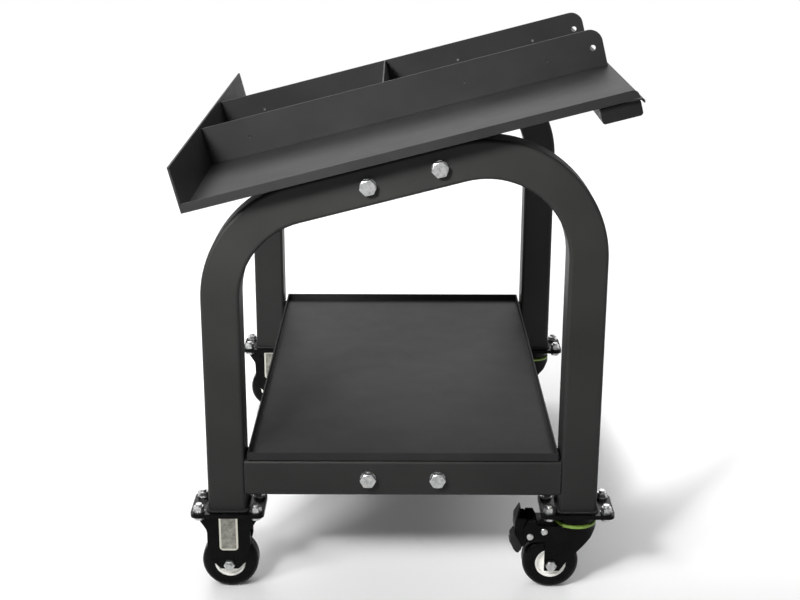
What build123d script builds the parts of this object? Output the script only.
"""Low steel equipment cart: two bent-tube hoop frames, a flat shelf, a sloped tray and four casters.

+Z is up and the floor is Z = 0. +X runs towards the high end of the tray, the near side is -Y.
The origin is on the floor under the middle of the cart. All sizes are millimetres.
"""
from build123d import *
import math
import os

# ---- hoop frames ----
TUBE = 50.0                 # square tube, across the flats
TUBE_WALL = 2.5
TUBE_CORNER = 5.0           # outer corner radius of the tube
FRAME_WIDTH = 518.0         # X, over the legs
FRAME_DEPTH = 700.0         # Y, over the two frames
BEND_RADIUS = 130.0         # centreline radius of the two big bends
SLOPE = 14.5                # degrees, low end at -X
LEG_RISE = 456.0            # from the leg's bottom to the sloped tube's centreline over X = 0
RAIL_RISE = 49.0            # from the leg's bottom to the low rail's centreline

# ---- cross channels between the frames ----
CHANNEL_WIDTH = 130.0
CHANNEL_WALL = 4.0
CHANNEL_INNER_BEND = 1.0
END_PLATE_THICK = 6.0
TRAY_LIFT = 6.0             # the upper channel stands this much proud of the hoop tubes

# ---- frame bolts, M12 ----
FRAME_BOLT_SPACING = 92.0
FRAME_BOLT_D = 12.0
FRAME_HOLE_D = 13.0
FRAME_HEAD_FLATS = 19.0
FRAME_HEAD_HEIGHT = 7.5
FRAME_NUT_HEIGHT = 10.0
HEX_CHAMFER_RISE = 0.16     # of the head's height
HEX_CHAMFER_IN = 0.28       # of the head's height
FRAME_WASHER_D = 21.0
FRAME_WASHER_THICK = 1.6
THREAD_PAST_NUT = 3.0

# ---- shelf ----
SHEET = 2.0                 # shelf and tray sheet
SHELF_SIDE_GAP = 4.0        # between the shelf and each leg
SHELF_LIP = 12.0            # over the rail

# ---- tray, in its own sloped frame: x along the slope, z square to the floor ----
TRAY_WIDTH = 770.0
TRAY_LENGTH = 568.0         # from the inner face of the end plate to the end of the bent strip
TRAY_LIP = 10.0
TRAY_LIP_ROUND = 8.0
STRIP_WIDTH = 21.0          # high end strip, bent down a little
STRIP_DROP = 2.0
CURL_RADIUS = 4.0
CURL_ANGLE = 125.0          # degrees of wrap
CURL_START = 1.0            # flat between the strip and the curl
END_PLATE_HEIGHT = 57.5
FIN_THICK = 3.0
FIN_HEIGHT = 52.5
FIN_SPACING = 220.0
FIN_CORNER = 18.0
ROD_HOLE_D = 8.0
ROD_HOLE_BACK = 15.0        # from the fin's high end
ROD_HOLE_RISE = 27.0
SMALL_HOLE_D = 4.0
SMALL_HOLE_RISE = 25.5
SMALL_HOLES = (63.0, 371.0, 488.0)      # from the inner face of the end plate
CROSS_DIVIDER_AT = 262.0    # from the inner face of the end plate
CROSS_DIVIDER_THICK = 2.5
BOX_WIDTH = 50.0
BOX_HEIGHT = 20.0
BOX_WALL = 2.0
BOX_CORNER = 4.0
BOX_RECESS = 8.0            # each end stands back from the tray's edge
CAP_THICK = 3.0
CAP_PLUG = 12.0
CAP_PLUG_PLAY = 0.1
CAP_ROUND = 1.0

# ---- studs that hold the shelf and the tray to the channels, M6 ----
STUD_D = 6.0
STUD_HOLE_D = 6.6
STUD_NUT_FLATS = 10.0
STUD_NUT_HEIGHT = 5.0
STUD_PAST_NUT = 2.0
STUD_SPACING_X = 80.0
SHELF_STUD_SPACING_Y = 400.0
TRAY_STUD_SPACING_Y = 140.0

# ---- foot plates and caster plates, M8 bolts ----
PLATE_X = 98.0
PLATE_Y = 68.0
PLATE_CORNER = 9.0
PLATE_THICK = 3.0
PLATE_HOLES_X = 76.0
PLATE_HOLES_Y = 46.0
PLATE_BOLT_D = 8.0
PLATE_HOLE_D = 9.0
PLATE_HEAD_FLATS = 13.0
PLATE_HEAD_HEIGHT = 5.3
PLATE_NUT_HEIGHT = 6.5
PLATE_WASHER_D = 16.0
PLATE_WASHER_THICK = 1.4

# ---- wheels ----
WHEEL_D = 76.0
TREAD_WIDTH = 32.0
TREAD_SHOULDER = 9.0
HUB_D = 42.0
HUB_WIDTH = 30.0
HUB_BOSS_D = 18.0
HUB_RECESS = 3.0
HUB_RIM = 3.0
FORK_GAP = 36.0             # between the fork's arms
FORK_SHEET = 3.0
HUB_SIDE_PLAY = 0.5
AXLE_D = 8.0
AXLE_HOLE_D = 8.4
SLEEVE_D = 12.0
RUNNING_CLEARANCE = 0.05    # radial
AXLE_HEAD_FLATS = 13.0
AXLE_HEAD_HEIGHT = 5.3
AXLE_NUT_HEIGHT = 6.5

# ---- rigid caster bracket ----
RIGID_ARM_TOP = 88.0        # width of the arm where it meets the plate
RIGID_ARM_WIDTH = 58.0
RIGID_ARM_TOE = 24.0
RIGID_TOE_DROP = 7.0        # the arm's toe, under the axle
RIGID_TAPER_RISE = 28.0     # over the axle, the arm narrows below this
RIGID_KNEE = 1 / 3          # where the toe's curve turns, as a part of the taper
RIGID_SHOULDER_DROP = 24.0  # the arm flares over this height under the plate
RIGID_TAPER_ROUND = 14.0
RIGID_SHOULDER_ROUND = 16.0
RIGID_TOE_ROUND = 3.0
HEAD_POCKET_D = 17.0        # room for the plate bolts' heads in the shoulders
LABEL_WIDTH = 25.0
LABEL_HEIGHT = 50.0
LABEL_THICK = 0.8
LABEL_ROUND = 5.0
LABEL_DROP = 3.0            # under the plate

# ---- swivel caster ----
TRAIL = 33.0                # swivel axis to wheel axis, towards -X
CUP_D = 52.0
CUP_HEIGHT = 13.3
CUP_ROUND = 3.0
RING_D = 56.0
RING_ROUND = 1.0
RING_GAP = 3.2              # between the fork's crown and the plate's cup
RING_PLAY = 0.1             # over the seal ring
CROWN_ROOM = 19.5           # from the tread to the fork's top
KING_PIN_D = 12.0
KING_HEAD_D = 24.0
KING_HEAD_HEIGHT = 3.0
KING_HEAD_ROUND = 1.5
BALL_D = 4.0
BALL_CIRCLE_D = 40.0
BALL_COUNT = 16
BALL_PLAY = 0.1
RACE_PLAY = 0.5             # beside the balls, radial
WHEEL_ROOM = 3.0            # between the tread and the fork's skirt
# side view of the fork, x from the wheel's axis: the arm's points by their height over the axle,
# the neck's and the brake cheek's by their height over the fork's top
FORK_ARM = [(-9.0, -9.0), (11.0, -9.0), (20.0, 4.0), (34.0, 19.0)]
NECK_TAPER = [(8.0, -20.0), (0.0, -6.0)]        # x in from the crown's edge
NECK_ROUND = 12.0
NECK_START = -6.0           # x from the swivel axis, where the neck begins to curve round, seen from above
BRAKE_CHEEK = [(-19.0, 0.0), (-23.0, 7.5), (-33.0, 7.5), (-38.0, -3.5), (-38.0, -18.5), (-29.0, -24.5), (-9.0, -22.5)]

# ---- brake on the swivel caster, x from the wheel's axis and z from the fork's top ----
BRAKE_PIN_D = 6.0
BRAKE_PIN = (-29.4, -14.9)
STOP_PIN = (-10.6, -7.5)
PIN_HEAD_D = 9.0
PIN_HEAD_HEIGHT = 1.8
PIN_HEAD_ROUND = 1.6
PEDAL_WIDTH = 34.0
PEDAL_SHEET = 2.0
PEDAL_LEAN = 29.6           # of its lower back, so that the web keeps its thickness
PEDAL_BACK = [(-43.0, 23.5), (-49.5, 4.5), (-50.0, -9.5), (-39.0, -32.5)]
PEDAL_CHEEK = [(-32.0, -25.5), (-22.0, -19.5), (-22.0, -7.5), (-32.0, 1.5)]
PEDAL_TAB_TAPER = (4.5, 23.0, 6.0)      # the tab narrows from the first height to the second, to this half width
PAD_WIDTH = 24.0
PAD_OUTLINE = [(-49.0, -7.5), (-58.0, -16.5), (-47.0, -45.5), (-37.5, -34.0)]
PAD_ROUND = 2.0

# ---- worked out from the sizes above ----
LEG_X = FRAME_WIDTH / 2 - TUBE / 2
FRAME_Y = FRAME_DEPTH / 2 - TUBE / 2
INNER_Y = FRAME_DEPTH / 2 - TUBE
SLOPE_TAN = math.tan(math.radians(SLOPE))
SLOPE_COS = math.cos(math.radians(SLOPE))
SLOPE_SIN = math.sin(math.radians(SLOPE))
WHEEL_Z = WHEEL_D / 2
FORK_TOP_Z = WHEEL_D + CROWN_ROOM
PLATE_BOTTOM_Z = FORK_TOP_Z + RING_GAP + CUP_HEIGHT
FOOT_PLATE_BOTTOM_Z = PLATE_BOTTOM_Z + PLATE_THICK
LEG_BOTTOM_Z = FOOT_PLATE_BOTTOM_Z + PLATE_THICK
RAIL_Z = LEG_BOTTOM_Z + RAIL_RISE           # centreline of the low rail
RAIL_TOP_Z = RAIL_Z + TUBE / 2
TOP_TUBE_Z = LEG_BOTTOM_Z + LEG_RISE        # centreline of the sloped tube over X = 0
RIGID_TOE_Z = WHEEL_Z - RIGID_TOE_DROP
RIGID_TAPER_Z = WHEEL_Z + RIGID_TAPER_RISE
RIGID_SHOULDER_Z = PLATE_BOTTOM_Z - RIGID_SHOULDER_DROP
ARM_Y = FORK_GAP / 2 + FORK_SHEET           # outer face of a fork's arm
TRAY_BACK = -SHEET                          # underside of the tray floor, sloped frame
# the tray is set along the slope so that the end plate's top and the curl reach out equally far
TRAY_LOW_END = -((TRAY_LENGTH + CURL_START - FIN_THICK) * SLOPE_COS + CURL_RADIUS
                 - (END_PLATE_HEIGHT - STRIP_DROP - CURL_RADIUS) * SLOPE_SIN) / (2 * SLOPE_COS)
TRAY_HIGH_END = TRAY_LOW_END + TRAY_LENGTH
CURL_X = TRAY_HIGH_END + CURL_START
BOX_TOP = TRAY_BACK - STRIP_DROP
THROUGH = TUBE                              # cutters stand this far past what they cut

# sloped frames: the tops of the two cross channels and the tray's floor
slope_x = (SLOPE_COS, 0, SLOPE_SIN)
slope_z = (-SLOPE_SIN, 0, SLOPE_COS)
upper_rise = TUBE / 2 + TRAY_LIFT
upper_frame = Plane(origin=(-upper_rise * SLOPE_SIN, 0, TOP_TUBE_Z + upper_rise * SLOPE_COS),
                    x_dir=slope_x, z_dir=slope_z)
lower_frame = Plane(origin=(0, 0, RAIL_TOP_Z), x_dir=(1, 0, 0), z_dir=(0, 0, 1))
tray_frame = Plane(origin=(0, 0, TOP_TUBE_Z + (upper_rise + SHEET) / SLOPE_COS), x_dir=slope_x, z_dir=slope_z)

nodes = {}


def keep(name, *solids):
    """Collect the solids of one node."""
    found = []
    for shape in solids:
        found += list(shape.solids())
    nodes[name] = found


def block(x0, x1, y0, y1, z0, z1):
    """A box between two corners."""
    return Pos((x0 + x1) / 2, (y0 + y1) / 2, (z0 + z1) / 2) * Box(abs(x1 - x0), abs(y1 - y0), abs(z1 - z0))


def rod_z(x, y, z0, z1, diameter):
    """A round bar along Z."""
    return Pos(x, y, (z0 + z1) / 2) * Cylinder(diameter / 2, abs(z1 - z0))


def rod_y(x, z, y0, y1, diameter):
    """A round bar along Y."""
    return Pos(x, (y0 + y1) / 2, z) * Rot(-90, 0, 0) * Cylinder(diameter / 2, abs(y1 - y0))


def outline_xz(points, y0, y1):
    """A polygon in XZ, made solid from y0 to y1."""
    face = make_face(Polyline(*[(x, y0, z) for x, z in points], close=True))
    return extrude(face, amount=y1 - y0, dir=(0, 1, 0))


def hexagon(flats, height):
    """A hexagon standing on z = 0, its upper corners turned off."""
    prism = extrude(RegularPolygon(flats / 2, 6, major_radius=False), amount=height)
    turned = Pos(0, 0, height / 2) * Cylinder(flats / math.sqrt(3) + 0.01, height)
    turned = chamfer(turned.edges().group_by(Axis.Z)[-1], height * HEX_CHAMFER_RISE, height * HEX_CHAMFER_IN)
    return prism & turned


def hex_bolt(diameter, length, flats, head):
    """Underside of the head at z = 0, shank towards -z."""
    return hexagon(flats, head) + rod_z(0, 0, -length, 0, diameter)


def hex_nut(diameter, flats, height):
    """A nut standing on z = 0."""
    return hexagon(flats, height) - rod_z(0, 0, -1, height + 1, diameter)


def washer(hole, outer, thick):
    """A washer standing on z = 0."""
    return rod_z(0, 0, 0, thick, outer) - rod_z(0, 0, -1, thick + 1, hole)


# ---- hoop frames and rails ----
def hoop_path(y):
    low = (-LEG_X, y, TOP_TUBE_Z - LEG_X * SLOPE_TAN)
    high = (LEG_X, y, TOP_TUBE_Z + LEG_X * SLOPE_TAN)
    return FilletPolyline((-LEG_X, y, LEG_BOTTOM_Z), low, high, (LEG_X, y, LEG_BOTTOM_Z), radius=BEND_RADIUS)


def tube_section():
    inner = TUBE - 2 * TUBE_WALL
    return RectangleRounded(TUBE, TUBE, TUBE_CORNER) - RectangleRounded(inner, inner, TUBE_CORNER - TUBE_WALL)


def top_bolt_places():
    """X and Z of the two bolts in the sloped tube."""
    half = FRAME_BOLT_SPACING / 2
    return [(s * half * SLOPE_COS, TOP_TUBE_Z + s * half * SLOPE_SIN) for s in (-1, 1)]


def rail_bolt_places():
    return [(s * FRAME_BOLT_SPACING / 2, RAIL_Z) for s in (-1, 1)]


def make_frame(name, side):
    y = side * FRAME_Y
    section = Plane(origin=(-LEG_X, y, LEG_BOTTOM_Z), x_dir=(1, 0, 0), z_dir=(0, 0, 1)) * tube_section()
    hoop = sweep(section, path=hoop_path(y))
    for x, z in top_bolt_places():
        hoop -= rod_y(x, z, y - THROUGH, y + THROUGH, FRAME_HOLE_D)
    keep("hoop_frame_" + name, hoop)
    rail_end = LEG_X - TUBE / 2
    rail = extrude(Plane(origin=(-rail_end, y, RAIL_Z), x_dir=(0, 1, 0), z_dir=(1, 0, 0)) * tube_section(),
                   amount=2 * rail_end)
    for x, z in rail_bolt_places():
        rail -= rod_y(x, z, y - THROUGH, y + THROUGH, FRAME_HOLE_D)
    keep("lower_rail_" + name, rail)


# ---- cross channels ----
def channel(depth, stud_spacing_y):
    """Folded channel, open downwards, its top face on z = 0."""
    half = CHANNEL_WIDTH / 2
    length = INNER_Y - END_PLATE_THICK
    body = block(-half, half, -length, length, -depth, 0)
    body = fillet(body.edges().filter_by(Axis.Y).group_by(Axis.Z)[-1], CHANNEL_WALL + CHANNEL_INNER_BEND)
    inner = half - CHANNEL_WALL
    cavity = block(-inner, inner, -length - 1, length + 1, -depth - 1, -CHANNEL_WALL)
    cavity = fillet(cavity.edges().filter_by(Axis.Y).group_by(Axis.Z)[-1], CHANNEL_INNER_BEND)
    body -= cavity
    for place in stud_places(stud_spacing_y):
        body -= place * rod_z(0, 0, -CHANNEL_WALL - 1, 1, STUD_HOLE_D)
    return body


def stud_places(spacing_y):
    return [Pos(sx * STUD_SPACING_X / 2, sy * spacing_y / 2, 0) for sx in (-1, 1) for sy in (-1, 1)]


def channel_end_plates(depth, bolt_rise):
    """The two plates welded in the channel's ends, drilled for the frame bolts."""
    half = CHANNEL_WIDTH / 2
    plates = []
    for side in (-1, 1):
        plate = block(-half, half, side * INNER_Y, side * (INNER_Y - END_PLATE_THICK), -depth, 0)
        for s in (-1, 1):
            plate -= rod_y(s * FRAME_BOLT_SPACING / 2, bolt_rise, side * INNER_Y - THROUGH, side * INNER_Y + THROUGH, FRAME_HOLE_D)
        plates.append(plate)
    return plates


def stud_set(spacing_y):
    """Studs welded to the underside of a sheet at z = 0, and their nuts under the channel's wall."""
    stud_end = -CHANNEL_WALL - STUD_NUT_HEIGHT - STUD_PAST_NUT
    studs = [place * rod_z(0, 0, stud_end, 0, STUD_D) for place in stud_places(spacing_y)]
    nut_top = -CHANNEL_WALL
    nuts = [place * Pos(0, 0, nut_top - STUD_NUT_HEIGHT) * hex_nut(STUD_D, STUD_NUT_FLATS, STUD_NUT_HEIGHT)
            for place in stud_places(spacing_y)]
    return studs, nuts


def make_channels():
    upper_depth = TUBE + 2 * TRAY_LIFT
    keep("upper_cross_channel", upper_frame * channel(upper_depth, TRAY_STUD_SPACING_Y))
    keep("lower_cross_channel", lower_frame * channel(TUBE, SHELF_STUD_SPACING_Y))
    upper = [upper_frame * p for p in channel_end_plates(upper_depth, -upper_depth / 2)]
    lower = [lower_frame * p for p in channel_end_plates(TUBE, -TUBE / 2)]
    keep("channel_end_plates", *upper, *lower)
    tray_studs, tray_nuts = stud_set(TRAY_STUD_SPACING_Y)
    shelf_studs, shelf_nuts = stud_set(SHELF_STUD_SPACING_Y)
    keep("sheet_studs", *[upper_frame * s for s in tray_studs], *[lower_frame * s for s in shelf_studs])
    keep("stud_nuts", *[upper_frame * n for n in tray_nuts], *[lower_frame * n for n in shelf_nuts])


def make_frame_bolts():
    bolts = []
    washers = []
    nuts = []
    grip = FRAME_WASHER_THICK + TUBE + END_PLATE_THICK
    length = grip + FRAME_NUT_HEIGHT + THREAD_PAST_NUT
    for side in (-1, 1):
        for index, (x, z) in enumerate(top_bolt_places() + rail_bolt_places()):
            tilt = Rot(0, -SLOPE, 0) if index < 2 else Rot(0, 0, 0)
            face = side * FRAME_DEPTH / 2
            place = Pos(x, face, z) * tilt * Rot(-90 * side, 0, 0)
            washers.append(place * washer(FRAME_HOLE_D, FRAME_WASHER_D, FRAME_WASHER_THICK))
            head = hex_bolt(FRAME_BOLT_D, length, FRAME_HEAD_FLATS, FRAME_HEAD_HEIGHT)
            bolts.append(place * Pos(0, 0, FRAME_WASHER_THICK) * head)
            inside = TUBE + END_PLATE_THICK + FRAME_NUT_HEIGHT
            nuts.append(place * Pos(0, 0, -inside) * hex_nut(FRAME_BOLT_D, FRAME_HEAD_FLATS, FRAME_NUT_HEIGHT))
    keep("frame_bolts", *bolts)
    keep("frame_bolt_washers", *washers)
    keep("frame_bolt_nuts", *nuts)


# ---- shelf ----
def make_shelf():
    half_x = LEG_X - TUBE / 2 - SHELF_SIDE_GAP
    half_y = FRAME_DEPTH / 2
    pan = block(-half_x, half_x, -half_y, half_y, RAIL_TOP_Z, RAIL_TOP_Z + SHELF_LIP)
    pan = fillet(pan.edges().group_by(Axis.Z)[0], SHEET)
    pan -= block(-half_x + SHEET, half_x - SHEET, -half_y + SHEET, half_y - SHEET,
                 RAIL_TOP_Z + SHEET, RAIL_TOP_Z + SHELF_LIP + 1)
    keep("shelf_tray", pan)


# ---- tray, built in its own sloped frame ----
def tray_floor_section():
    """Floor, bent strip and curl in the tray frame's XZ, as one face at y = 0."""
    bend = TRAY_HIGH_END - STRIP_WIDTH
    top = [(TRAY_LOW_END, 0), (bend, 0), (CURL_X, -STRIP_DROP)]
    back = [(CURL_X, BOX_TOP), (bend, TRAY_BACK), (TRAY_LOW_END, TRAY_BACK)]
    centre = (CURL_X, -STRIP_DROP - CURL_RADIUS)
    wrap = math.radians(90 - CURL_ANGLE)
    middle = math.radians(90 - CURL_ANGLE / 2)
    inner = CURL_RADIUS - SHEET

    def at(radius, angle):
        return (centre[0] + radius * math.cos(angle), 0, centre[1] + radius * math.sin(angle))
    lines = [Polyline(*[(x, 0, z) for x, z in top]),
             ThreePointArc(at(CURL_RADIUS, math.pi / 2), at(CURL_RADIUS, middle), at(CURL_RADIUS, wrap)),
             Line(at(CURL_RADIUS, wrap), at(inner, wrap)),
             ThreePointArc(at(inner, wrap), at(inner, middle), at(inner, math.pi / 2)),
             Polyline(*[(x, 0, z) for x, z in back]),
             Line((TRAY_LOW_END, 0, TRAY_BACK), (TRAY_LOW_END, 0, 0))]
    edges = [edge for line in lines for edge in line.edges()]
    return make_face(Wire.combine(edges)[0])


def make_tray():
    half = TRAY_WIDTH / 2
    floor = extrude(Pos(0, -half, 0) * tray_floor_section(), amount=TRAY_WIDTH, dir=(0, 1, 0))
    pan = floor
    for side in (-1, 1):
        lip = block(TRAY_LOW_END, TRAY_HIGH_END, side * half, side * (half - SHEET), -SHEET / 2, TRAY_LIP)
        corner = lip.edges().filter_by(Axis.Y).group_by(Axis.X)[-1].sort_by(Axis.Z)[-1]
        pan += fillet(corner, TRAY_LIP_ROUND)
    keep("tray_pan", tray_frame * pan)

    plate = block(TRAY_LOW_END - FIN_THICK, TRAY_LOW_END, -half, half, TRAY_BACK, END_PLATE_HEIGHT)
    keep("tray_end_plate", tray_frame * plate)

    for name, side in (("near", -1), ("far", 1)):
        y = side * FIN_SPACING / 2
        fin = block(TRAY_LOW_END, TRAY_HIGH_END - STRIP_WIDTH, y - FIN_THICK / 2, y + FIN_THICK / 2, 0, FIN_HEIGHT)
        nose = outline_xz([(TRAY_HIGH_END - STRIP_WIDTH, 0), (TRAY_HIGH_END, nose_drop()),
                           (TRAY_HIGH_END, FIN_HEIGHT), (TRAY_HIGH_END - STRIP_WIDTH, FIN_HEIGHT)],
                          y - FIN_THICK / 2, y + FIN_THICK / 2)
        fin = (fin + nose).clean()
        corner = fin.edges().filter_by(Axis.Y).group_by(Axis.X)[-1].sort_by(Axis.Z)[-1]
        fin = fillet(corner, FIN_CORNER)
        fin -= rod_y(TRAY_HIGH_END - ROD_HOLE_BACK, ROD_HOLE_RISE, y - FIN_THICK, y + FIN_THICK, ROD_HOLE_D)
        for at in SMALL_HOLES:
            fin -= rod_y(TRAY_LOW_END + at, SMALL_HOLE_RISE, y - FIN_THICK, y + FIN_THICK, SMALL_HOLE_D)
        keep("divider_" + name, tray_frame * fin)

    inner = FIN_SPACING / 2 - FIN_THICK / 2
    at = TRAY_LOW_END + CROSS_DIVIDER_AT
    cross = block(at - CROSS_DIVIDER_THICK / 2, at + CROSS_DIVIDER_THICK / 2, -inner, inner, 0, FIN_HEIGHT)
    keep("cross_divider", tray_frame * cross)

    box_half = half - BOX_RECESS - CAP_THICK
    middle_x = CURL_X - BOX_WIDTH / 2
    middle_z = BOX_TOP - BOX_HEIGHT / 2
    section = Plane(origin=(middle_x, -box_half, middle_z), x_dir=(1, 0, 0), z_dir=(0, 1, 0))
    outer = RectangleRounded(BOX_WIDTH, BOX_HEIGHT, BOX_CORNER)
    hollow = RectangleRounded(BOX_WIDTH - 2 * BOX_WALL, BOX_HEIGHT - 2 * BOX_WALL, BOX_CORNER - BOX_WALL)
    keep("end_box_tube", tray_frame * extrude(section * (outer - hollow), amount=2 * box_half))
    plug_in = BOX_WALL + CAP_PLUG_PLAY
    caps = []
    for side in (-1, 1):
        face = Plane(origin=(middle_x, side * box_half, middle_z), x_dir=(1, 0, 0), z_dir=(0, side, 0))
        lid = extrude(face * outer, amount=CAP_THICK)
        lid = fillet(lid.edges().group_by(Axis.Y)[-1 if side > 0 else 0], CAP_ROUND)
        plug = extrude(face * RectangleRounded(BOX_WIDTH - 2 * plug_in, BOX_HEIGHT - 2 * plug_in,
                                               BOX_CORNER - BOX_WALL), amount=-CAP_PLUG)
        caps.append(tray_frame * (lid + plug))
    keep("end_tube_caps", *caps)


def nose_drop():
    """Height of the bent strip's top under the fin's high end."""
    return -STRIP_DROP * STRIP_WIDTH / (CURL_X - TRAY_HIGH_END + STRIP_WIDTH)


# ---- plates under the legs ----
def corner_plate(z0, z1):
    plate = extrude(Pos(0, 0, z0) * RectangleRounded(PLATE_X, PLATE_Y, PLATE_CORNER), amount=z1 - z0)
    for place in plate_holes():
        plate -= place * rod_z(0, 0, z0 - 1, z1 + 1, PLATE_HOLE_D)
    return plate


def plate_holes():
    return [Pos(sx * PLATE_HOLES_X / 2, sy * PLATE_HOLES_Y / 2, 0) for sx in (-1, 1) for sy in (-1, 1)]


def corners():
    """The four legs, by name."""
    return {"near_left": Pos(-LEG_X, -FRAME_Y, 0), "far_left": Pos(-LEG_X, FRAME_Y, 0),
            "near_right": Pos(LEG_X, -FRAME_Y, 0), "far_right": Pos(LEG_X, FRAME_Y, 0)}


def make_foot_plates():
    keep("foot_plates", *[c * corner_plate(FOOT_PLATE_BOTTOM_Z, LEG_BOTTOM_Z) for c in corners().values()])
    bolts = []
    washers = []
    nuts = []
    length = 2 * PLATE_THICK + PLATE_WASHER_THICK + PLATE_NUT_HEIGHT + THREAD_PAST_NUT
    for corner in corners().values():
        for hole in plate_holes():
            under = corner * hole * Pos(0, 0, PLATE_BOTTOM_Z) * Rot(180, 0, 0)
            bolts.append(under * hex_bolt(PLATE_BOLT_D, length, PLATE_HEAD_FLATS, PLATE_HEAD_HEIGHT))
            on_top = corner * hole * Pos(0, 0, LEG_BOTTOM_Z)
            washers.append(on_top * washer(PLATE_HOLE_D, PLATE_WASHER_D, PLATE_WASHER_THICK))
            nut = hex_nut(PLATE_BOLT_D, PLATE_HEAD_FLATS, PLATE_NUT_HEIGHT)
            nuts.append(on_top * Pos(0, 0, PLATE_WASHER_THICK) * nut)
    keep("plate_bolts", *bolts)
    keep("plate_washers", *washers)
    keep("plate_nuts", *nuts)


# ---- wheels: made about an axle along Y through x, z ----
def revolved(points):
    """A ring about the Y axis from (radius, y) points."""
    face = make_face(Polyline(*[(r, y, 0) for r, y in points], close=True))
    return revolve(face, Axis.Y)


def tyre():
    half = TREAD_WIDTH / 2
    ring = revolved([(HUB_D / 2, -half), (WHEEL_D / 2, -half), (WHEEL_D / 2, half), (HUB_D / 2, half)])
    rims = [e for e in ring.edges().filter_by(GeomType.CIRCLE) if abs(e.radius - WHEEL_D / 2) < 0.01]
    return fillet(rims, TREAD_SHOULDER)


def hub():
    bore = SLEEVE_D / 2 + RUNNING_CLEARANCE
    boss = FORK_GAP / 2 - HUB_SIDE_PLAY
    half = HUB_WIDTH / 2
    rim = HUB_D / 2
    web = half - HUB_RECESS
    dish = rim - HUB_RIM
    side = [(bore, boss), (HUB_BOSS_D / 2, boss), (HUB_BOSS_D / 2, web), (dish, web), (dish, half), (rim, half)]
    return revolved(side + [(r, -y) for r, y in reversed(side)])


def axle(x, head_side):
    """Bolt, sleeve and nut of one axle, in the caster's own frame."""
    reach = ARM_Y * 2 + AXLE_NUT_HEIGHT + THREAD_PAST_NUT
    out = Pos(x, head_side * ARM_Y, WHEEL_Z) * Rot(-90 * head_side, 0, 0)
    back = Pos(x, -head_side * ARM_Y, WHEEL_Z) * Rot(90 * head_side, 0, 0)
    bolt = out * hex_bolt(AXLE_D, reach, AXLE_HEAD_FLATS, AXLE_HEAD_HEIGHT)
    nut = back * hex_nut(AXLE_D, AXLE_HEAD_FLATS, AXLE_NUT_HEIGHT)
    sleeve = rod_y(x, WHEEL_Z, -FORK_GAP / 2, FORK_GAP / 2, SLEEVE_D)
    sleeve -= rod_y(x, WHEEL_Z, -FORK_GAP, FORK_GAP, AXLE_HOLE_D)
    return bolt, nut, sleeve


# ---- rigid casters ----
def rigid_arm_outline():
    top = RIGID_ARM_TOP / 2
    mid = RIGID_ARM_WIDTH / 2
    toe = RIGID_ARM_TOE / 2
    knee = mid + (toe - mid) * RIGID_KNEE
    knee_z = RIGID_TOE_Z + (RIGID_TAPER_Z - RIGID_TOE_Z) * RIGID_KNEE
    right = [(toe, RIGID_TOE_Z), (knee, knee_z), (mid, RIGID_TAPER_Z), (mid, RIGID_SHOULDER_Z), (top, PLATE_BOTTOM_Z)]
    return right + [(-x, z) for x, z in reversed(right)]


def rigid_bracket():
    bracket = corner_plate(PLATE_BOTTOM_Z, FOOT_PLATE_BOTTOM_Z)
    for side in (-1, 1):
        arm = outline_xz(rigid_arm_outline(), side * FORK_GAP / 2, side * ARM_Y)
        for z, radius in ((RIGID_TAPER_Z, RIGID_TAPER_ROUND), (RIGID_SHOULDER_Z, RIGID_SHOULDER_ROUND),
                          (RIGID_TOE_Z, RIGID_TOE_ROUND)):
            level = [e for e in arm.edges().filter_by(Axis.Y) if abs(e.center().Z - z) < 0.1]
            arm = fillet(level, radius)
        bracket += arm
    for place in plate_holes():
        bracket -= place * rod_z(0, 0, PLATE_BOTTOM_Z - PLATE_HEAD_HEIGHT - 1, PLATE_BOTTOM_Z, HEAD_POCKET_D)
        bracket -= place * rod_z(0, 0, PLATE_BOTTOM_Z - 1, FOOT_PLATE_BOTTOM_Z + 1, PLATE_HOLE_D)
    return bracket - rod_y(0, WHEEL_Z, -ARM_Y - 1, ARM_Y + 1, AXLE_HOLE_D)


def label_plate():
    """Blank metal plate on the arm's outer face, its lower corners rounded."""
    top = PLATE_BOTTOM_Z - LABEL_DROP
    plate = block(-LABEL_WIDTH / 2, LABEL_WIDTH / 2, -ARM_Y - LABEL_THICK, -ARM_Y, top - LABEL_HEIGHT, top)
    return fillet(plate.edges().filter_by(Axis.Y).group_by(Axis.Z)[0], LABEL_ROUND)


def make_rigid_casters():
    bolts = []
    nuts = []
    sleeves = []
    labels = []
    for name in ("near_left", "far_left"):
        corner = corners()[name]
        keep("rigid_bracket_" + name, corner * rigid_bracket())
        bolt, nut, sleeve = axle(0, 1)
        bolts.append(corner * bolt)
        nuts.append(corner * nut)
        sleeves.append(corner * sleeve)
        labels.append(corner * label_plate())
        keep("wheel_hub_" + name, corner * Pos(0, 0, WHEEL_Z) * hub())
        keep("tyre_" + name, corner * Pos(0, 0, WHEEL_Z) * tyre())
    keep("rigid_axle_bolts", *bolts)
    keep("rigid_axle_nuts", *nuts)
    keep("rigid_axle_sleeves", *sleeves)
    keep("blank_label_plates", *labels)


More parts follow.
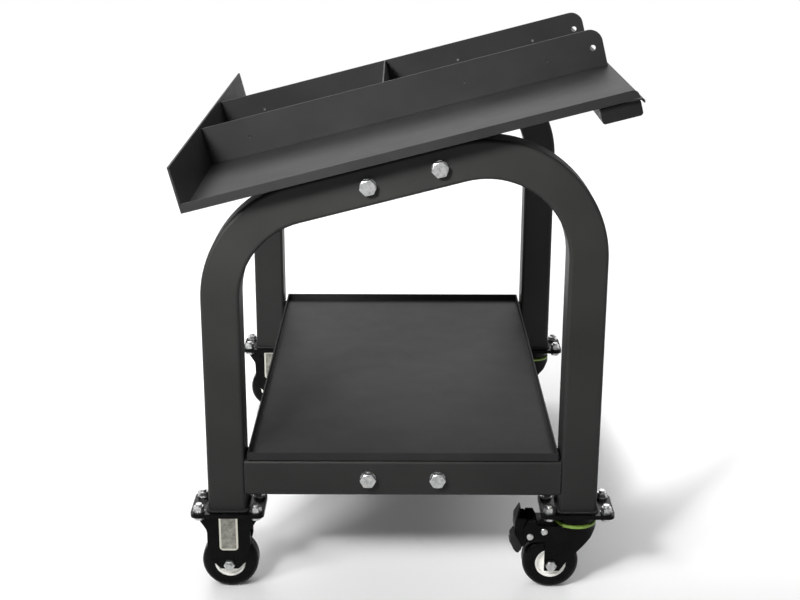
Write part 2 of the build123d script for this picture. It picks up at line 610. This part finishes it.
# ---- swivel casters, made about the swivel axis ----
def swivel_top_plate():
    cup_bottom = FORK_TOP_Z + RING_GAP
    plate = corner_plate(PLATE_BOTTOM_Z, FOOT_PLATE_BOTTOM_Z)
    cup = rod_z(0, 0, cup_bottom, PLATE_BOTTOM_Z, CUP_D)
    cup = fillet(cup.edges().group_by(Axis.Z)[0], CUP_ROUND)
    plate += cup
    half_race = BALL_D + 2 * RACE_PLAY
    race = rod_z(0, 0, cup_bottom - 1, cup_bottom + race_depth(), BALL_CIRCLE_D + half_race)
    race -= rod_z(0, 0, cup_bottom - 2, cup_bottom + race_depth() + 1, BALL_CIRCLE_D - half_race)
    return plate - race - rod_z(0, 0, cup_bottom - 1, FOOT_PLATE_BOTTOM_Z + 1, KING_PIN_D)


def race_depth():
    """The balls stand on the fork and run this far up into the cup's groove."""
    return BALL_D + 2 * BALL_PLAY - RING_GAP


def seal_ring():
    top = FORK_TOP_Z + RING_GAP - RING_PLAY
    ring = rod_z(0, 0, FORK_TOP_Z, top, RING_D)
    ring -= rod_z(0, 0, FORK_TOP_Z - 1, top + 1, BALL_CIRCLE_D + BALL_D + 4 * RACE_PLAY)
    return fillet(ring.edges().group_by(Axis.Z)[-1].filter_by(lambda e: e.radius > RING_D / 2 - 1), RING_ROUND)


def swivel_balls():
    ball_z = FORK_TOP_Z + BALL_PLAY + BALL_D / 2
    ring = []
    for index in range(BALL_COUNT):
        angle = 2 * math.pi * index / BALL_COUNT
        x = BALL_CIRCLE_D / 2 * math.cos(angle)
        y = BALL_CIRCLE_D / 2 * math.sin(angle)
        ring.append(Pos(x, y, ball_z) * Sphere(BALL_D / 2))
    return ring


def king_pin():
    """Rivet through the plate and the fork, its lower head under the fork's crown."""
    head_top = FORK_TOP_Z - FORK_SHEET - BALL_PLAY
    pin = rod_z(0, 0, head_top - 1, FOOT_PLATE_BOTTOM_Z, KING_PIN_D)
    head = rod_z(0, 0, head_top - KING_HEAD_HEIGHT, head_top, KING_HEAD_D)
    return pin + fillet(head.edges().group_by(Axis.Z)[0], KING_HEAD_ROUND)


def from_axle(points):
    """Points by their x from the wheel's axis and their height over it."""
    return [(x - TRAIL, z + WHEEL_Z) for x, z in points]


def from_fork_top(points):
    """Points by their x from the wheel's axis and their height over the fork's top."""
    return [(x - TRAIL, z + FORK_TOP_Z) for x, z in points]


def fork_outline():
    """Side view of the fork: straight arm, curved neck, crown and brake cheek."""
    crown = RING_D / 2
    neck = [(crown - x, FORK_TOP_Z + z) for x, z in NECK_TAPER]
    return from_axle(FORK_ARM) + neck + [(crown, FORK_TOP_Z)] + from_fork_top(BRAKE_CHEEK)


def fork_cavity():
    """Room between the arms: under the crown, inside the neck and open to the left and below."""
    edge = RING_D / 2 - FORK_SHEET
    top = FORK_TOP_Z - FORK_SHEET
    low = -WHEEL_D
    left = -TRAIL - WHEEL_D
    over = FORK_TOP_Z + WHEEL_D
    neck = [(edge - x, FORK_TOP_Z + z - FORK_SHEET) for x, z in NECK_TAPER]
    cheek = from_fork_top(BRAKE_CHEEK)[0][0]
    return [(left, low), (neck[0][0], low)] + neck + [(edge, top), (cheek, top), (cheek, over), (left, over)]


def neck_plan(sheets):
    """The fork's plan, a straight part with an oval nose, made solid. It is that many sheets inside the skin."""
    inside = sheets * FORK_SHEET
    half = ARM_Y - inside
    nose = extrude(Pos(NECK_START, 0, 0) * Ellipse(RING_D / 2 - NECK_START - inside, half), amount=FORK_TOP_Z * 2)
    return nose + block(-TRAIL - WHEEL_D, NECK_START, -half, half, 0, FORK_TOP_Z * 2)


def rounded_neck(solid, height):
    """Round the corner where the neck turns up to the crown."""
    edges = [e for e in solid.edges().filter_by(Axis.Y) if abs(e.center().Z - height) < 0.1 and e.center().X > 0]
    return fillet(edges, NECK_ROUND)


def fork():
    low_z = FORK_TOP_Z + NECK_TAPER[0][1]
    body = rounded_neck(outline_xz(fork_outline(), -ARM_Y, ARM_Y), low_z) & neck_plan(0)
    body -= rounded_neck(outline_xz(fork_cavity(), -FORK_GAP / 2, FORK_GAP / 2), low_z - FORK_SHEET) & neck_plan(1)
    body -= rod_y(-TRAIL, WHEEL_Z, -FORK_GAP / 2, FORK_GAP / 2, WHEEL_D + 2 * WHEEL_ROOM)
    body += rod_z(0, 0, FORK_TOP_Z - FORK_SHEET, FORK_TOP_Z, RING_D)
    body -= rod_z(0, 0, FORK_TOP_Z - THROUGH, FORK_TOP_Z + 1, KING_PIN_D + 2 * RUNNING_CLEARANCE)
    body -= rod_y(-TRAIL, WHEEL_Z, -ARM_Y - 1, ARM_Y + 1, AXLE_HOLE_D)
    for x, z in from_fork_top([BRAKE_PIN, STOP_PIN]):
        body -= rod_y(x, z, -ARM_Y - 1, ARM_Y + 1, BRAKE_PIN_D)
    return body


def brake_pins():
    pins = []
    for x, z in from_fork_top([BRAKE_PIN, STOP_PIN]):
        pin = rod_y(x, z, -ARM_Y, ARM_Y, BRAKE_PIN_D)
        for side in (-1, 1):
            head = rod_y(x, z, side * ARM_Y, side * (ARM_Y + PIN_HEAD_HEIGHT), PIN_HEAD_D)
            outer = head.edges().group_by(Axis.Y)[-1 if side > 0 else 0]
            pin += fillet(outer, PIN_HEAD_ROUND)
        pins.append(pin)
    return pins


def pedal_outline():
    return from_fork_top(PEDAL_BACK + PEDAL_CHEEK)


def brake_pedal():
    """Channel-shaped lever: two cheeks on the pin, a web on the left, the release tab at the top."""
    half = PEDAL_WIDTH / 2
    lever = outline_xz(pedal_outline(), -half, half)
    back = from_fork_top(PEDAL_BACK)
    web = PEDAL_SHEET / math.cos(math.radians(PEDAL_LEAN))
    below = back[-1][1] - THROUGH
    over = back[0][1] + THROUGH
    room = outline_xz([(back[0][0] + web, over)] + [(x + web, z) for x, z in back] + [(0, below), (0, over)],
                      -half + PEDAL_SHEET, half - PEDAL_SHEET)
    lever -= room
    start, end, tip = PEDAL_TAB_TAPER
    start += FORK_TOP_Z
    end += FORK_TOP_Z
    taper = [(-half - 1, start), (-half - 1, over), (half + 1, over), (half + 1, start), (tip, end), (-tip, end)]
    cut = make_face(Polyline(*[(-TRAIL - WHEEL_D, y, z) for y, z in taper], close=True))
    lever -= extrude(cut, amount=WHEEL_D, dir=(1, 0, 0))
    pin_x, pin_z = from_fork_top([BRAKE_PIN])[0]
    return lever - rod_y(pin_x, pin_z, -half - 1, half + 1, BRAKE_PIN_D + 2 * RUNNING_CLEARANCE)


def pedal_pad():
    """Rubber pad moulded on the lever's foot."""
    half = PAD_WIDTH / 2
    pad = outline_xz(from_fork_top(PAD_OUTLINE), -half, half)
    pad = fillet(pad.edges().filter_by(Axis.Y), PAD_ROUND)
    return pad - outline_xz(pedal_outline(), -half - 1, half + 1)


def make_swivel_casters():
    for name in ("near_right", "far_right"):
        corner = corners()[name]
        keep("swivel_plate_" + name, corner * swivel_top_plate())
        keep("king_pin_" + name, corner * king_pin())
        keep("swivel_balls_" + name, *[corner * ball for ball in swivel_balls()])
        keep("seal_ring_" + name, corner * seal_ring())
        keep("fork_" + name, corner * fork())
        bolt, nut, sleeve = axle(-TRAIL, -1)
        keep("axle_bolt_" + name, corner * bolt)
        keep("axle_nut_" + name, corner * nut)
        keep("axle_sleeve_" + name, corner * sleeve)
        keep("wheel_hub_" + name, corner * Pos(-TRAIL, 0, WHEEL_Z) * hub())
        keep("tyre_" + name, corner * Pos(-TRAIL, 0, WHEEL_Z) * tyre())
        keep("brake_pins_" + name, *[corner * pin for pin in brake_pins()])
        keep("brake_pedal_" + name, corner * brake_pedal())
        keep("pedal_pad_" + name, corner * pedal_pad())


for frame_name, frame_side in (("near", -1), ("far", 1)):
    make_frame(frame_name, frame_side)
make_channels()
make_frame_bolts()
make_shelf()
make_tray()
make_foot_plates()
make_rigid_casters()
make_swivel_casters()

os.makedirs("parts", exist_ok=True)
for node, solids in nodes.items():
    shape = solids[0] if len(solids) == 1 else Compound(children=solids)
    export_step(shape, f"parts/{node}.step")
print(len(nodes), "nodes,", sum(len(s) for s in nodes.values()), "solids")
